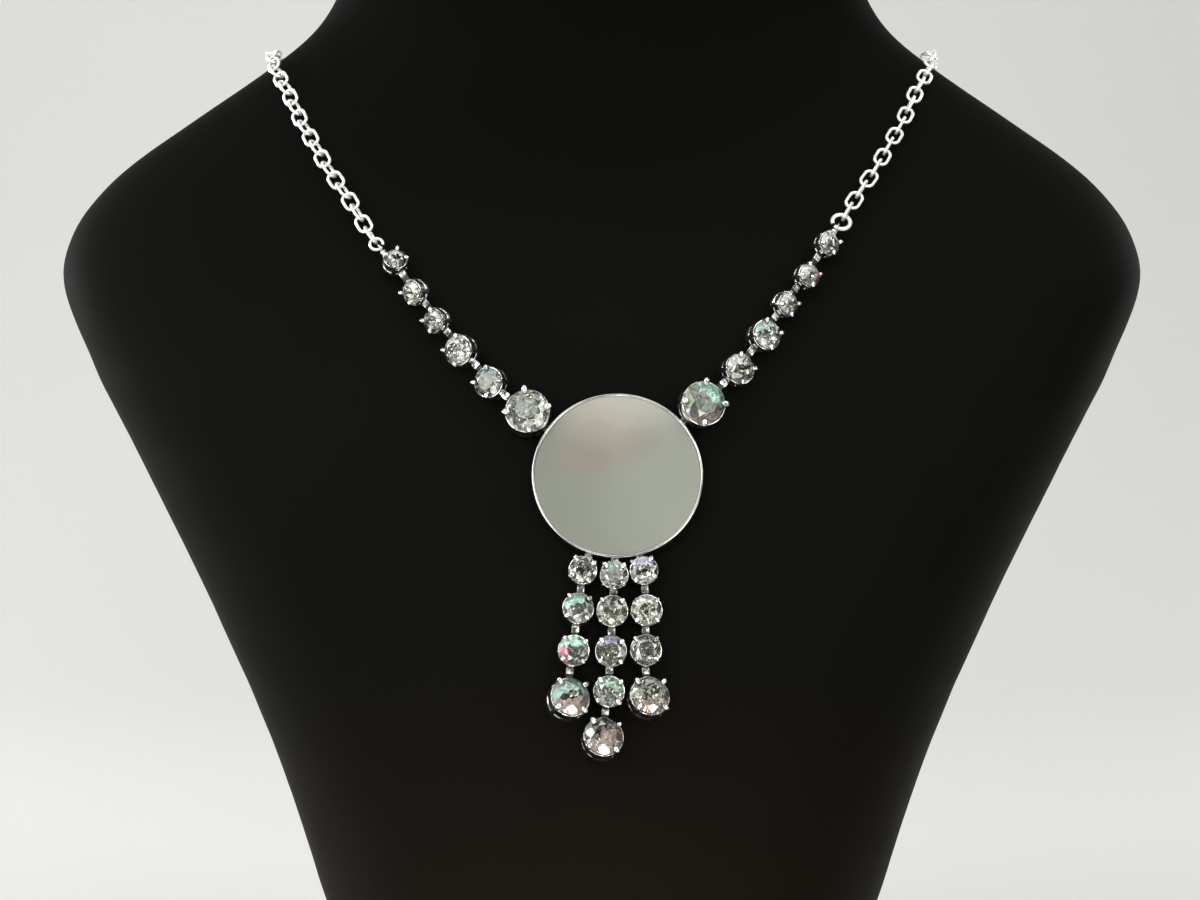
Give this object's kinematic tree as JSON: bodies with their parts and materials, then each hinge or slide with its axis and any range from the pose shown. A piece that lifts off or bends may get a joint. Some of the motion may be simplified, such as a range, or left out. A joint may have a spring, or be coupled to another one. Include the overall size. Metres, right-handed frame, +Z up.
{
  "type": "rhinestone necklace on a neck bust",
  "caption": "Necklace of cut rhinestones in claw cups with a round satin pendant, a tassel of stone strands and a cable chain, worn on a plain headless neck bust.",
  "frame": {"origin": "middle of the bounding box at the flat foot of the bust", "axes": "+Z up from the foot to the neck, -Y towards the viewer, out of the chest, +X to the viewer's right"},
  "size_m": [0.2018, 0.1231, 0.245],
  "materials": {
    "bust": "satin black",
    "metal": "polished silver plate",
    "face": "satin",
    "crystal": "foil-backed cut crystal with an iridescent coat"
  },
  "bodies": {
    "root": {"bust": "bust", "pendant_tray": "metal", "pendant_face": "face", "stone_left_1": "crystal", "stone_left_2": "crystal", "stone_left_3": "crystal", "stone_left_4": "crystal", "stone_left_5": "crystal", "stone_left_6": "crystal", "stone_right_1": "crystal", "stone_right_2": "crystal", "stone_right_3": "crystal", "stone_right_4": "crystal", "stone_right_5": "crystal", "stone_right_6": "crystal", "stone_drop_left_1": "crystal", "stone_drop_left_2": "crystal", "stone_drop_left_3": "crystal", "stone_drop_left_4": "crystal", "stone_drop_centre_1": "crystal", "stone_drop_centre_2": "crystal", "stone_drop_centre_3": "crystal", "stone_drop_centre_4": "crystal", "stone_drop_centre_5": "crystal", "stone_drop_right_1": "crystal", "stone_drop_right_2": "crystal", "stone_drop_right_3": "crystal", "stone_drop_right_4": "crystal", "setting_left_1": "metal", "setting_left_2": "metal", "setting_left_3": "metal", "setting_left_4": "metal", "setting_left_5": "metal", "setting_left_6": "metal", "setting_right_1": "metal", "setting_right_2": "metal", "setting_right_3": "metal", "setting_right_4": "metal", "setting_right_5": "metal", "setting_right_6": "metal", "setting_drop_left_1": "metal", "setting_drop_left_2": "metal", "setting_drop_left_3": "metal", "setting_drop_left_4": "metal", "setting_drop_centre_1": "metal", "setting_drop_centre_2": "metal", "setting_drop_centre_3": "metal", "setting_drop_centre_4": "metal", "setting_drop_centre_5": "metal", "setting_drop_right_1": "metal", "setting_drop_right_2": "metal", "setting_drop_right_3": "metal", "setting_drop_right_4": "metal", "chain_left": "metal", "chain_right": "metal", "clasp": "metal"}
  },
  "joints": []
}
